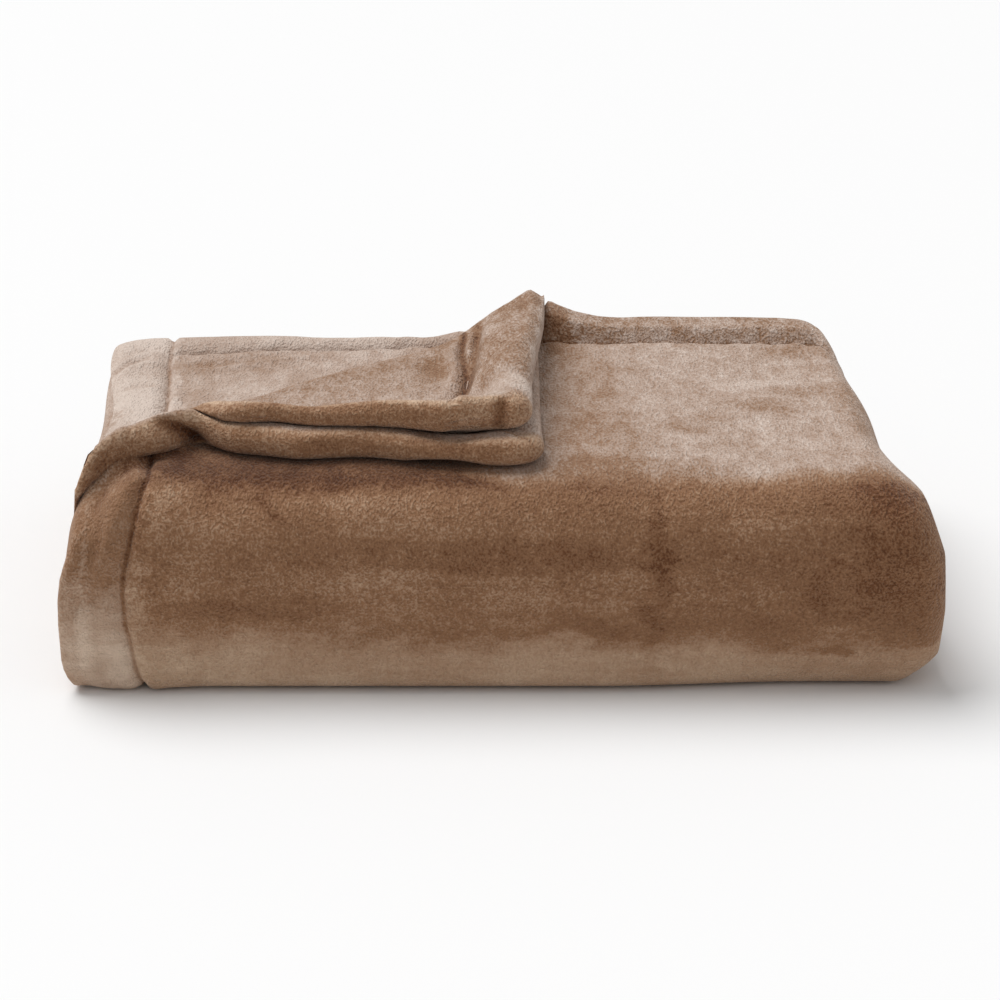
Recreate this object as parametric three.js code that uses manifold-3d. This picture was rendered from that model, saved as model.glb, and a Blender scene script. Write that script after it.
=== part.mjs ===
// Fleece blanket, folded for a bed or a shelf, as one solid.
//
// One rectangle of plush cloth with a wide self hem on all four edges. It is folded in half across its
// width, in half along its length, in half across its width again, and then in thirds towards the front,
// which makes 24 plies. The corner of the top two plies is turned over on a diagonal fold line, so that
// their hems lie on the top as two thick rolls.
//
// Millimetres, +X right, +Y back, +Z up. The origin is the middle of the underside.

import * as THREE from 'three';
import { mergeVertices } from 'three/addons/utils/BufferGeometryUtils.js';
import Module from 'manifold-3d';

// The cloth as it was cut and hemmed
const CLOTH_WIDTH = 2300;
const CLOTH_LENGTH = 2000;
const CLOTH_THICKNESS = 5;
const PLY_GAP = 0.6;
const HEM_WIDTH = 50;
const HEM_ROLL = 18; // height of a turned hem at the front, where it traps air between its two plies

// The folded stack
const PITCH = CLOTH_THICKNESS + PLY_GAP;
const GROUP_PLIES = 8; // plies in each third
const GROUP = GROUP_PLIES * PITCH;
const STACK_HEIGHT = 3 * GROUP;
const STACK_DEPTH = 364;
const FIRST_BEND = PITCH / 2; // mean radius where the cloth is first folded double
const SECOND_BEND = PITCH;
const THIRD_BEND = 2 * PITCH;
const FRONT_BEND = GROUP; // the top third turns round the middle third at the front
const FRONT_OUTER = 1.5 * GROUP;
const BACK_BEND = GROUP / 2; // the bottom third turns up into the middle third at the back
const BACK_OUTER = GROUP;

// How the soft stack sits
const FRONT_TOP_SQUARENESS = 2.5; // 2 is a round edge, more is squarer
const FRONT_BOTTOM_SQUARENESS = 4.5;
const LEFT_SETBACK = 8; // how far the top is drawn in from the widest level
const RIGHT_SETBACK = 24;
const BOTTOM_SETBACK = 7;
const SIDE_WAVE = 2.5; // the stacked folds step in and out at the sides
const SIDE_WAVES = 3;

// The corner that is turned over
const FLAP_LEG = 310; // each hemmed edge of the turned corner
const FLAP_FRONT = STACK_DEPTH - FLAP_LEG; // from the front of the stack to the turned hem
const FLAP_STEP = 8; // the upper ply is turned round the lower one, so its hem lies this much further in
const FLAP_TIP = 20; // the blunt corner
const FLAP_ROOT = 4; // how far a turned ply reaches into the ply that it comes from
const ROOT_INSET = 0.6;
const OPENING_EASE = 1; // how far the stack's own plies end short of the turn
const BACK_FLATTENING = 0.5; // share of a roll's extra height that is lost towards the back
const TURNED_GAP = 2.8; // between turned plies
const TURN_BULGE = 0.7; // how far the turn stands out, as a share of half its height
const END_BULGE = 0.15; // the same where it meets the sides of the stack
const SLIVER = 0.02; // least share of the step between two stations
const NEST_SHARE = 0.2; // of the step, by which the upper ply's turn stands outside the lower one's
const HEM_STATIONS = [0, 0.16, 0.4, 0.75, 1.15]; // distances from a turned hem's edge, in hem widths

const bodyColour = 0x9c7659;

/** Stations from start to end, with both ends. */
function spread(start, end, steps) {
  return Array.from({ length: steps + 1 }, (_, i) => start + ((end - start) * i) / steps);
}

/** Stations in order, without the doubles where two stretches meet. */
function joined(...stretches) {
  const all = stretches.flat().sort((a, b) => a - b);
  return all.filter((value, i) => i === 0 || value - all[i - 1] > 1e-6);
}

function smooth(value, low, high) {
  return THREE.MathUtils.smoothstep(value, low, high);
}

/** Folds a strip in half: distance along it and height over it become place and height in the fold. */
function halfFold(along, height, length, radius) {
  const run = (length - Math.PI * radius) / 2;
  if (along <= run) return [along, radius + height];
  const turn = (along - run) / radius;
  if (turn < Math.PI) {
    const reach = radius + height;
    return [run + reach * Math.sin(turn), reach * Math.cos(turn)];
  }
  return [length - along, -(radius + height)];
}

/** Length that is left of a strip folded in half. */
function halfLength(length, radius) {
  return (length - Math.PI * radius) / 2 + radius;
}

const halfWidth = halfLength(CLOTH_WIDTH, FIRST_BEND);
const quarterWidth = halfLength(halfWidth, THIRD_BEND);
const stackWidth = quarterWidth + THIRD_BEND;

// The letter fold: the lengths of its runs and turns, from the hems at the back of the top
const topRun = STACK_DEPTH - FRONT_OUTER;
const frontTurn = Math.PI * FRONT_BEND;
const bottomRun = STACK_DEPTH - FRONT_OUTER - BACK_OUTER;
const backTurn = Math.PI * BACK_BEND;

/** Winds the eightfold strip round the front and under, then up at the back into the middle. */
function letterFold(along, height) {
  if (along <= topRun) return [STACK_DEPTH - along, STACK_HEIGHT - GROUP / 2 + height];
  let rest = along - topRun;
  if (rest <= frontTurn) {
    const turn = rest / FRONT_BEND;
    const reach = FRONT_BEND + height;
    return [FRONT_OUTER - reach * Math.sin(turn), FRONT_OUTER + reach * Math.cos(turn)];
  }
  rest -= frontTurn;
  if (rest <= bottomRun) return [FRONT_OUTER + rest, GROUP / 2 - height];
  rest -= bottomRun;
  if (rest <= backTurn) {
    const turn = rest / BACK_BEND;
    const reach = BACK_BEND + height;
    return [STACK_DEPTH - BACK_OUTER + reach * Math.sin(turn), BACK_OUTER - reach * Math.cos(turn)];
  }
  rest -= backTurn;
  return [STACK_DEPTH - BACK_OUTER - rest, 1.5 * GROUP + height];
}

/** The place in the folded stack of a point of the flat cloth. */
function foldedPlace(across, along, height) {
  const [firstX, firstZ] = halfFold(across, height, CLOTH_WIDTH, FIRST_BEND);
  const [secondY, secondZ] = halfFold(along, firstZ, CLOTH_LENGTH, SECOND_BEND);
  const [thirdX, thirdZ] = halfFold(firstX, secondZ, halfWidth, THIRD_BEND);
  const [y, z] = letterFold(secondY, thirdZ);
  return new THREE.Vector3(thirdX, y, z);
}

/** Squares the round front: softly at the top edge and more at the bottom edge. */
function squareFront(point) {
  const out = (FRONT_OUTER - point.y) / FRONT_OUTER;
  const up = (point.z - FRONT_OUTER) / FRONT_OUTER;
  if (out <= 0) return;
  const power = up > 0 ? FRONT_TOP_SQUARENESS : FRONT_BOTTOM_SQUARENESS;
  const reach = Math.hypot(out, up);
  const cosine = Math.abs(out / reach) ** power;
  const sine = Math.abs(up / reach) ** power;
  const grow = (cosine + sine) ** (-1 / power);
  point.y = FRONT_OUTER - out * grow * FRONT_OUTER;
  point.z = FRONT_OUTER + up * grow * FRONT_OUTER;
}

/** Draws the sides in at the top and bottom and steps them in and out between. */
function settleSides(point) {
  const level = Math.min(point.z / STACK_HEIGHT, 1);
  const side = (2 * point.x) / stackWidth - 1;
  const top = smooth(level, 0.5, 1) * (side > 0 ? RIGHT_SETBACK : LEFT_SETBACK);
  const bottom = (1 - smooth(level, 0, 0.25)) * BOTTOM_SETBACK;
  const wave = SIDE_WAVE * Math.cos(2 * Math.PI * SIDE_WAVES * level);
  point.x -= side * Math.abs(side) * (top + bottom + wave);
}

/** The stack as it lies, with the left end of its width at X = 0 and its front at Y = 0. */
function settle(point) {
  squareFront(point);
  settleSides(point);
  return point;
}

/** A closed slab whose grid of stations is placed one by one: place(a, b, side), side -1 below, 1 above. */
function slab(stationsA, stationsB, place) {
  const stepsA = stationsA.length - 1;
  const stepsB = stationsB.length - 1;
  const box = new THREE.BoxGeometry(stepsA, stepsB, 2, stepsA, stepsB, 1);
  box.deleteAttribute('normal');
  box.deleteAttribute('uv');
  const solid = mergeVertices(box);
  const corners = solid.attributes.position;
  for (let i = 0; i < corners.count; i++) {
    const a = stationsA[Math.round(corners.getX(i) + stepsA / 2)];
    const b = stationsB[Math.round(corners.getY(i) + stepsB / 2)];
    const point = settle(place(a, b, Math.sign(corners.getZ(i))));
    corners.setXYZ(i, point.x, point.y, point.z);
  }
  return solid;
}

/** The whole cloth, folded, with its corners still in place. */
function foldedCloth() {
  const foldRun = (halfWidth - Math.PI * THIRD_BEND) / 2;
  const quarter = joined(
    spread(0, foldRun, 4),
    spread(foldRun, foldRun + Math.PI * THIRD_BEND, 5),
    spread(foldRun + Math.PI * THIRD_BEND, halfWidth - FIRST_BEND, 3),
  );
  const firstRun = (CLOTH_WIDTH - Math.PI * FIRST_BEND) / 2;
  const across = joined(
    quarter,
    spread(firstRun, CLOTH_WIDTH - firstRun, 4),
    quarter.map((station) => CLOTH_WIDTH - station),
  );
  const frontEnd = topRun + frontTurn;
  const firstOfFront = topRun + frontTurn / 8;
  const bottomEnd = frontEnd + bottomRun;
  const secondRun = (CLOTH_LENGTH - Math.PI * SECOND_BEND) / 2;
  const half = joined(
    spread(0, topRun, 3),
    spread(topRun, firstOfFront, 3), // finer under the turned hem
    spread(firstOfFront, frontEnd, 7),
    spread(frontEnd, bottomEnd, 2),
    spread(bottomEnd, bottomEnd + backTurn, 5),
    spread(bottomEnd + backTurn, secondRun, 2),
  );
  const along = joined(
    half,
    spread(secondRun, CLOTH_LENGTH - secondRun, 4),
    half.map((station) => CLOTH_LENGTH - station),
  );
  // The length runs from the back to the front, so it is taken backwards to keep the faces outwards.
  const place = (a, b, side) => foldedPlace(a, b, (side * CLOTH_THICKNESS) / 2);
  return slab(across, along.reverse(), place);
}

/** What the turned corner leaves bare: the corner of the top two plies, behind the fold line. */
function cornerOpening() {
  const foldLine = FLAP_LEG * Math.SQRT2;
  const past = 60;
  const along = spread(-past, foldLine + past, 16);
  const behind = spread(-OPENING_EASE, FLAP_LEG, 4);
  return slab(along, behind, (a, b, side) => {
    const z = side > 0 ? STACK_HEIGHT + PITCH : STACK_HEIGHT - 2 * PITCH;
    return new THREE.Vector3((a - b) / Math.SQRT2, FLAP_FRONT + (a + b) / Math.SQRT2, z);
  });
}

/** Height of a turned ply, with the full hem near its edge. back is 0 at the front and 1 at the back. */
function turnedHeight(edge, back) {
  const rise = Math.sqrt(smooth(edge, -8, 18));
  const fall = 1 - smooth(edge, 0.6 * HEM_WIDTH, 1.1 * HEM_WIDTH);
  const extra = (HEM_ROLL - CLOTH_THICKNESS) * (1 - BACK_FLATTENING * back);
  return CLOTH_THICKNESS + extra * rise * fall;
}

/** The lower and upper face of a turned ply, by the distances from the lower ply's two hem edges. */
function turnedFaces(order, fromFront, fromRight) {
  const back = smooth(fromFront, 0.3 * FLAP_LEG, FLAP_LEG);
  const edge = Math.min(fromFront, fromRight);
  const low = STACK_HEIGHT + TURNED_GAP;
  const high = low + turnedHeight(edge, back);
  if (order === 0) return [low, high];
  return [high + TURNED_GAP, high + TURNED_GAP + turnedHeight(edge - FLAP_STEP, back)];
}

/**
 * One ply of the turned corner. order is 0 for the ply that was on top, which comes to lie below, and 1 for
 * the next, which wraps round it and so ends a step further in. The ply runs from its blunt corner to the
 * fold line, turns round it, and ends inside the ply of the stack that it belongs to. Its rows lie along
 * the fold line, and each row's two ends lie on the two hems.
 */
function turnedPly(order) {
  const step = order * FLAP_STEP;
  const ownTop = STACK_HEIGHT - PLY_GAP / 2 - order * PITCH;
  const flat = spread(FLAP_TIP, FLAP_LEG, 15);
  flat[0] += 2 * step;
  const rows = [...flat, ...spread(FLAP_LEG + 1, FLAP_LEG + 2, 7), FLAP_LEG + 3];
  const middle = HEM_STATIONS.length;
  const columns = spread(0, 2 * middle, 2 * middle);

  const fromHem = (k, width) => {
    const even = (width * k) / (2 * middle);
    return Math.max(Math.min(HEM_STATIONS[k] * HEM_WIDTH, even), step * (1 + SLIVER * k));
  };
  const alongRow = (column, width) => {
    if (column === middle) return width / 2;
    return column < middle ? fromHem(column, width) : width - fromHem(2 * middle - column, width);
  };

  return slab(columns, rows, (column, row, side) => {
    const width = Math.min(row, FLAP_LEG);
    const fromFront = alongRow(column, width);
    const fromRight = width - fromFront;
    const [low, high] = turnedFaces(order, fromFront, fromRight);
    const over = side > 0 ? high : low;
    // The upper face of the turned ply is the lower face of the ply that it comes from.
    const under = side > 0 ? ownTop - CLOTH_THICKNESS + ROOT_INSET : ownTop - ROOT_INSET;
    let past = 0;
    let z = over;
    if (row > FLAP_LEG + 2) {
      past = -FLAP_ROOT;
      z = under;
    } else if (row > FLAP_LEG) {
      const angle = Math.PI * (row - FLAP_LEG - 1);
      const ends = smooth(Math.min(fromFront, fromRight), 0, HEM_WIDTH);
      const bulge = END_BULGE + (TURN_BULGE - END_BULGE) * ends;
      past = (((over - under) / 2) * bulge + step * NEST_SHARE) * Math.sin(angle);
      z = (over + under) / 2 + ((over - under) / 2) * Math.cos(angle);
    }
    const x = FLAP_LEG - fromRight - past / Math.SQRT2;
    const y = FLAP_FRONT + fromFront + past / Math.SQRT2;
    return new THREE.Vector3(x, y, z);
  });
}

const wasm = await Module();
wasm.setup();

function toManifold(geometry) {
  const vertProperties = Float32Array.from(geometry.attributes.position.array);
  const triVerts = Uint32Array.from(geometry.index.array);
  return new wasm.Manifold(new wasm.Mesh({ numProp: 3, vertProperties, triVerts }));
}

function toGeometry(manifold) {
  const mesh = manifold.getMesh();
  const geometry = new THREE.BufferGeometry();
  geometry.setAttribute('position', new THREE.BufferAttribute(mesh.vertProperties, 3));
  geometry.setIndex(new THREE.BufferAttribute(mesh.triVerts, 1));
  return geometry;
}

/** The folded cloth with its turned corner, as one closed body over the middle of its underside. */
function blanketGeometry() {
  const stack = toManifold(foldedCloth()).subtract(toManifold(cornerOpening()));
  const lower = toManifold(turnedPly(0));
  const upper = toManifold(turnedPly(1));
  const geometry = toGeometry(stack.add(lower).add(upper));
  geometry.computeBoundingBox();
  const centre = geometry.boundingBox.getCenter(new THREE.Vector3());
  geometry.translate(-centre.x, -centre.y, -geometry.boundingBox.min.z);
  geometry.computeVertexNormals();
  return geometry;
}

const plush = new THREE.MeshStandardMaterial({ color: bodyColour, roughness: 0.95, metalness: 0 });
const blanket = new THREE.Mesh(blanketGeometry(), plush);
blanket.name = 'blanket';

const fleeceBlanket = new THREE.Group();
fleeceBlanket.name = 'fleece_blanket';
fleeceBlanket.add(blanket);

export default fleeceBlanket;
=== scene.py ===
"""Folded fleece blanket with one corner of its top plies turned over, for a studio picture.

The cloth is one rectangle with a wide self hem. It starts as a flat grid, gets its thickness, and every
point is then carried through the same folds as the real cloth: in half across the width, in half along the
length, in half across the width again, and in thirds towards the front. The corner of the top two plies is
turned over on a diagonal fold line. Inside the folding code lengths are millimetres, X runs from the middle
of the stack to the right, Y from its front to its back and Z up. There s holds the sizes of the folded stack,
and u and v are places across and along the flat cloth.
"""

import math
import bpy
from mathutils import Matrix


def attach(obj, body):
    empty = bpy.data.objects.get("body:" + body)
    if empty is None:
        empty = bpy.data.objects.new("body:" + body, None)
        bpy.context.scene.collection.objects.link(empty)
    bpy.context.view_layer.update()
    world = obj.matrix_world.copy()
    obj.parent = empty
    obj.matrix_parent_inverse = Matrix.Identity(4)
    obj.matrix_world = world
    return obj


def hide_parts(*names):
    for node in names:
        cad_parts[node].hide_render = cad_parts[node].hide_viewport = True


bl_info = {
    "name": "Folded Fleece Blanket",
    "version": (1, 0, 0),
    "blender": (4, 5, 0),
    "location": "3D View > Sidebar > Blanket",
    "description": "Builds a folded plush blanket with a turned corner, and a plain studio round it",
    "category": "Add Mesh",
}

from types import SimpleNamespace

import bmesh
import bpy
import numpy as np
from bpy.props import FloatProperty, FloatVectorProperty, PointerProperty
from mathutils import Vector

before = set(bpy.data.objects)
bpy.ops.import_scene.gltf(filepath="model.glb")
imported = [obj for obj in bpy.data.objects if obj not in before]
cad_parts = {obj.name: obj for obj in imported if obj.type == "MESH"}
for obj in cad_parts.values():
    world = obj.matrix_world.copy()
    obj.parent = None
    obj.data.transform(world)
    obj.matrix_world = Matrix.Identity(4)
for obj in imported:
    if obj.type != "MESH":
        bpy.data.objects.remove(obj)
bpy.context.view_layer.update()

BODY = "root"
NODE = "blanket"
PIECE = "fleece_blanket"
MM = 0.001


# Sizes and colours that a user may change


class BlanketSizes(bpy.types.PropertyGroup):
    """The cloth and how it is folded."""

    width: FloatProperty(name="Width", description="Cut width of the cloth", default=2.3, unit="LENGTH")
    length: FloatProperty(name="Length", description="Cut length of the cloth", default=2.0, unit="LENGTH")
    ply: FloatProperty(
        name="Ply", description="Thickness of one ply with its pile", default=0.005, unit="LENGTH"
    )
    gap: FloatProperty(name="Gap", description="Air between two plies", default=0.0006, unit="LENGTH")
    hem: FloatProperty(name="Hem", description="Width of the self hem", default=0.048, unit="LENGTH")
    depth: FloatProperty(
        name="Depth", description="Front to back of the folded stack", default=0.364, unit="LENGTH"
    )
    corner: FloatProperty(
        name="Corner", default=0.046, unit="LENGTH",
        description="From the front of the stack to the left end of the turned corner's fold line",
    )


class BlanketColours(bpy.types.PropertyGroup):
    """The plush, by how its nap lies."""

    pale: FloatVectorProperty(
        name="Pale nap", description="Pile brushed flat towards the light", subtype="COLOR", size=3,
        min=0, max=1, default=(0.68, 0.565, 0.49),
    )
    light: FloatVectorProperty(
        name="Light nap", description="Pile lying towards the light", subtype="COLOR", size=3,
        min=0, max=1, default=(0.485, 0.36, 0.29),
    )
    middle: FloatVectorProperty(
        name="Middle nap", description="Pile standing up", subtype="COLOR", size=3,
        min=0, max=1, default=(0.29, 0.16, 0.09),
    )
    dark: FloatVectorProperty(
        name="Dark nap", description="Pile lying away from the light", subtype="COLOR", size=3,
        min=0, max=1, default=(0.18, 0.078, 0.034),
    )


class StudioSettings(bpy.types.PropertyGroup):
    """The camera and the lights."""

    lens: FloatProperty(name="Lens", description="Focal length", default=100.0, unit="CAMERA")
    elevation: FloatProperty(
        name="Elevation", description="How far the camera looks down", default=math.radians(21.4),
        subtype="ANGLE",
    )
    distance: FloatProperty(
        name="Distance", description="Camera to the middle of the base", default=1.9727, unit="LENGTH"
    )
    key: FloatProperty(
        name="Key light", description="Strength of the large soft light from the upper left", default=2.4
    )
    spread: FloatProperty(
        name="Spread", description="How wide the soft light is", default=math.radians(44), subtype="ANGLE"
    )
    surround: FloatProperty(
        name="Surround", description="Strength of the even white light from all round", default=0.45
    )


# Folding the cloth


def smooth(value, low, high):
    """0 up to low, 1 from high on, and a soft step between."""
    t = np.clip((value - low) / (high - low), 0, 1)
    return t * t * (3 - 2 * t)


def hump(value, middle, half):
    """A soft ridge: 1 at the middle, falling to nothing about twice half away."""
    return np.exp(-(((value - middle) / half) ** 2))


def ripple(a, b, wavelength, seed, waves=7):
    """Smooth unevenness between about -1 and 1 over a plane, the same every time."""
    chance = np.random.default_rng(seed)
    total = np.zeros(np.broadcast(a, b).shape)
    for _ in range(waves):
        heading = chance.uniform(0, math.pi)
        number = 2 * math.pi / (wavelength * chance.uniform(0.7, 1.6))
        phase = chance.uniform(0, 2 * math.pi)
        total += np.sin(number * (a * math.cos(heading) + b * math.sin(heading)) + phase)
    return total / math.sqrt(2 * waves)


def ripples(a, b, rows):
    """Ripples of several sizes on top of each other: rows of height, wavelength and seed."""
    return sum(height * ripple(a, b, wavelength, seed) for height, wavelength, seed in rows)


def from_table(place, table, column=1):
    """Reads a column of a table by its first one, with straight runs between the rows."""
    return np.interp(place, table[:, 0], table[:, column])


def straight_run(length, radius):
    """Cloth on either side of a fold in half, up to where it starts to bend."""
    return (length - math.pi * radius) / 2


def fold_in_half(along, height, length, radius):
    """A strip folded in half: distance along it and height over it become place and level in the fold."""
    run = straight_run(length, radius)
    turn = np.clip((along - run) / radius, 0, math.pi)
    reach = radius + height
    bend = (turn > 0) & (turn < math.pi)
    straight = np.where(turn > 0, length - along, along)
    return np.where(bend, run + reach * np.sin(turn), straight), reach * np.cos(turn)


def half_length(length, radius):
    """How far a strip reaches once it is folded in half, up to the middle of its outermost ply."""
    return straight_run(length, radius) + radius


PLIES_IN_THIRD = 8


def stack_sizes(sizes):
    """Every size of the folded stack in millimetres, worked out from the few that the user sets."""
    names = ("width", "length", "ply", "gap", "hem", "depth", "corner")
    s = SimpleNamespace(**{name: getattr(sizes, name) / MM for name in names})
    s.pitch = s.ply + s.gap
    s.group = PLIES_IN_THIRD * s.pitch
    s.height = 3 * s.group
    s.bends = (s.pitch / 2, s.pitch, 2 * s.pitch)
    s.half_width = half_length(s.width, s.bends[0])
    s.third_run = straight_run(s.half_width, s.bends[2])
    s.stack_width = half_length(s.half_width, s.bends[2]) + s.bends[2]
    s.front_outer = 1.5 * s.group
    s.back_outer = s.group
    s.top_run = s.depth - s.front_outer
    s.front_turn = math.pi * s.group
    s.bottom_run = s.depth - s.front_outer - s.back_outer
    s.back_turn = math.pi * s.group / 2
    return s


def letter_fold(along, height, s):
    """Winds the eightfold strip round the front and under, then up at the back into the middle."""
    turn = np.clip((along - s.top_run) / s.group, 0, math.pi)
    rest = along - s.top_run - s.front_turn
    back = np.clip((rest - s.bottom_run) * 2 / s.group, 0, math.pi)
    inner = rest - s.bottom_run - s.back_turn
    front_reach = s.group + height
    back_reach = s.group / 2 + height
    centre_y = s.depth - s.back_outer
    stretches = [along <= s.top_run, rest <= 0, rest <= s.bottom_run, inner <= 0]
    places = [
        (s.depth - along, s.height - s.group / 2 + height),
        (s.front_outer - front_reach * np.sin(turn), s.front_outer + front_reach * np.cos(turn)),
        (s.front_outer + rest, s.group / 2 - height),
        (centre_y + back_reach * np.sin(back), s.back_outer - back_reach * np.cos(back)),
    ]
    y = np.select(stretches, [place[0] for place in places], centre_y - inner)
    z = np.select(stretches, [place[1] for place in places], 1.5 * s.group + height)
    return y, z


# How far the sides of the stack stand from its middle: level, then the left side at the front, halfway and at
# the back, and the right side in the same way
SIDES = np.array(
    [(0, 278, 280, 284, 270, 274, 274), (20, 285, 283, 286, 286, 285, 284),
     (50, 286, 284, 287, 288, 284, 280), (70, 285.6, 283.5, 287.5, 287, 275, 270.5),
     (88, 283.6, 282.6, 288, 286, 267, 262), (97, 281.4, 281, 288.5, 282.8, 264.4, 258.8),
     (105, 279.2, 279, 289, 280, 262, 256), (118, 279, 272, 290, 276, 257, 249),
     (134, 280, 267, 291, 258, 251, 245)]
)
# How far the back right corner is drawn forward, by the place across from the middle
BACK_CORNER = np.array([(206, 0), (219, 3), (230, 9), (240, 24), (250, 42)])
# How far the left end of the fold line pulls the plies down, by the distance from the left side
DROOP = np.array([(0, 46), (3, 41), (8, 31), (14, 22), (23, 13), (30, 9), (38, 5), (50, 2), (62, 0)])
# How high the back is drawn up at the peak of the turned corner, by the place across from the middle
PEAK = np.array(
    [(-50, 0), (-33, 4), (-11, 3), (4, 2.5), (14, 4.8), (19, 6.4), (22, 5.8), (25, 3.5), (28.5, 0.5),
     (30, 2.5), (32.5, 8), (36, 8), (42, 5), (54, 1.5), (70, 0)]
)
# Where each side goes over from its shape at the front to that halfway, and on to that at the back
LEFT_EASE = ((10, 175), (175, 340))
RIGHT_EASE = ((30, 150), (190, 340))
# How square the top and the bottom edge of the front are, where 2 is round
FRONT_TOP_POWER = 2.5
FRONT_BOTTOM_POWER = 10
BACK_EDGE_SAG = 7  # how far the back edge hangs left of the peak
FOOT_OUT = 4.5  # how far the foot of the front juts out at the left
FOOT_SWING = 7.5  # how much less it does so at the right
# Unevenness of the top and of the front: height, wavelength and seed
TOP_RIPPLES = ((1.3, 170, 3), (0.5, 60, 4))
FRONT_RIPPLES = ((2.0, 150, 5), (0.8, 55, 6))


def square_front(y, z, s):
    """Squares the round front: softly at the top edge and more at the bottom edge."""
    out = np.maximum((s.front_outer - y) / s.front_outer, 0)
    up = (z - s.front_outer) / s.front_outer
    reach = np.maximum(np.hypot(out, up), 1e-9)
    power = np.where(up > 0, FRONT_TOP_POWER, FRONT_BOTTOM_POWER)
    grow = ((out / reach) ** power + np.abs(up / reach) ** power) ** (-1 / power)
    grow = np.where(out > 0, grow, 1)
    return (
        np.where(out > 0, s.front_outer - out * grow * s.front_outer, y),
        s.front_outer + up * grow * s.front_outer,
    )


def side_reach(y, level, columns, ease):
    """How far one side of the stack stands out at a level and a distance from the front."""
    front, middle, back = (from_table(level, SIDES, column) for column in columns)
    return front + (middle - front) * smooth(y, *ease[0]) + (back - middle) * smooth(y, *ease[1])


def settle(x, y, z, s):
    """The folded stack as it lies under its own weight. x is measured from the middle here."""
    y, z = square_front(y, z, s)
    level = np.clip(z, 0, s.height)
    lift = level / s.height
    half = s.stack_width / 2
    left = side_reach(y, level, (1, 2, 3), LEFT_EASE)
    right = side_reach(y, level, (4, 5, 6), RIGHT_EASE)
    share = np.clip(np.abs(x) / half, 0, 1.1) ** 3
    x = x + np.where(x < 0, half - left, right - half) * share

    # The back right corner, the drooping left end of the fold line, and the back edge with its peak
    y = y - from_table(x, BACK_CORNER) * np.clip((y - 150) / 214, 0, 1) ** 2 * (0.35 + 0.65 * lift)
    z = z + lift * ripples(x, y, TOP_RIPPLES)
    z = z - from_table(x + half, DROOP) * (1 - smooth(y, 85, 135)) * smooth(y, -30, 22) * lift**2
    back_edge = smooth(y, 345, 368)
    z = z - BACK_EDGE_SAG * back_edge**2 * smooth(level, 60, 120) * (1 - smooth(x, -60, 20))
    z = z + smooth(y, 296, 352) * smooth(level, 105, 123) * from_table(x, PEAK)

    # The foot and the face of the front
    foot = FOOT_OUT - FOOT_SWING * smooth(x, 60, 200)
    y = y - foot * hump(z, 6, 16) * smooth(80 - y, 0, 60)
    face = smooth(s.front_outer - y, 10, 60) * smooth(z, 5, 40)
    y = y + face * ripples(x, z, FRONT_RIPPLES)
    return x, y, z


# The turned corner

# The two rolls, by the place along the front hem from the left: thickness of the lower and the upper one,
# and how far each hem is set back
ROLLS = np.array(
    [(0, 22, 5, -16, -3), (8, 24, 5, -13, -1), (14, 25, 5, -8, 4), (23, 25, 5, 3, 13),
     (30, 25, 5, 9, 19), (37, 23, 5, 14, 23), (48, 24, 5, 19, 28), (56, 26, 6, 22, 31),
     (64, 27, 6, 27, 34), (76, 27, 6, 36, 42), (84, 25, 7, 39, 40), (94, 22, 9, 35, 34),
     (102, 20, 11, 29, 27), (109, 20, 11.5, 24, 24), (115, 20, 12, 22, 22), (137, 19, 13, 16, 25),
     (156, 18, 13, 11, 21), (166, 18, 12.5, 11, 18), (196, 18, 15, 11, 13),
     (206, 18, 16.5, 10, 13), (223, 18, 19, 6, 11), (250, 18, 21, 2, 4), (258, 18, 22, 1, 7),
     (262, 18, 25, 0.5, 7), (277, 18, 25, -1, 9), (297, 18, 24, -1, 6), (330, 17, 20, 0, 4)]
)
# How far the lower roll sinks under the upper one, by the place along the front hem
POCKET = np.array([(200, 0), (226, 1), (240, 5), (254, 7), (264, 6), (278, 1), (290, 0)])
# Creases on the face of the lower and the upper roll: depth, half width, and points by the place along the
# roll and the height above the stack
ROLL_CREASES = (
    (
        (8.0, 3.4, ((46, 25), (55, 22), (65, 17), (76, 10), (90, 1))),
        (5.0, 6.0, ((72, 9), (79, 6), (88, 0))),
        (-3.0, 6.0, ((44, 12), (56, 8), (66, 4))),
        (2.0, 4.0, ((232, 14), (262, 12), (300, 13))),
        (2.0, 3.5, ((150, 13), (176, 11), (200, 12))),
    ),
    (
        (6.0, 4.5, ((291, 46), (289, 34), (286, 20))),
        (1.5, 3.0, ((150, 36), (190, 33), (240, 32))),
    ),
)
TIP = 2  # how far the front end of the lower roll juts out to the right
BACK_ROLL = 12.5  # thickness of the turned right hem at its back end
CORNER_ROUND = 22  # how far from a corner of the cloth its edges start to curve
TURN_LENGTHS = (8, 18)  # cloth that each ply spends on going round the fold line
RIGHT_EDGE_OUT = (3, 4)  # how far the turned right hem of each ply lies out
RIGHT_EDGE_SWING = 11.5  # how much farther that of the upper ply swings out towards the back
SLIM_END = (70, 115)  # from the left, where the rolls go over from lying flat to standing free


def roll_shape(edge, roll, reach, s):
    """Full height of a turned hem, and its height rounded off towards its edge."""
    full = s.ply + (roll - s.ply) * (1 - smooth(edge, reach[0], reach[1]))
    radius = np.maximum(roll / 2, 3)
    near = np.clip(1 - edge / radius, 0, 1)
    return full, full * np.sqrt(np.maximum(1 - near**2, 0.02))


def soft_min(a, b, width):
    """The smaller of two distances, with a round corner between them."""
    gap = np.clip((b - a) / width, -1, 1)
    return np.minimum(a, b) - width * (1 - np.abs(gap)) ** 2 / 4


def right_edge_out(y, ply):
    """How far the right hem of a turned ply lies out."""
    return RIGHT_EDGE_OUT[ply] + ply * RIGHT_EDGE_SWING * smooth(y, 120, 330)


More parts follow.
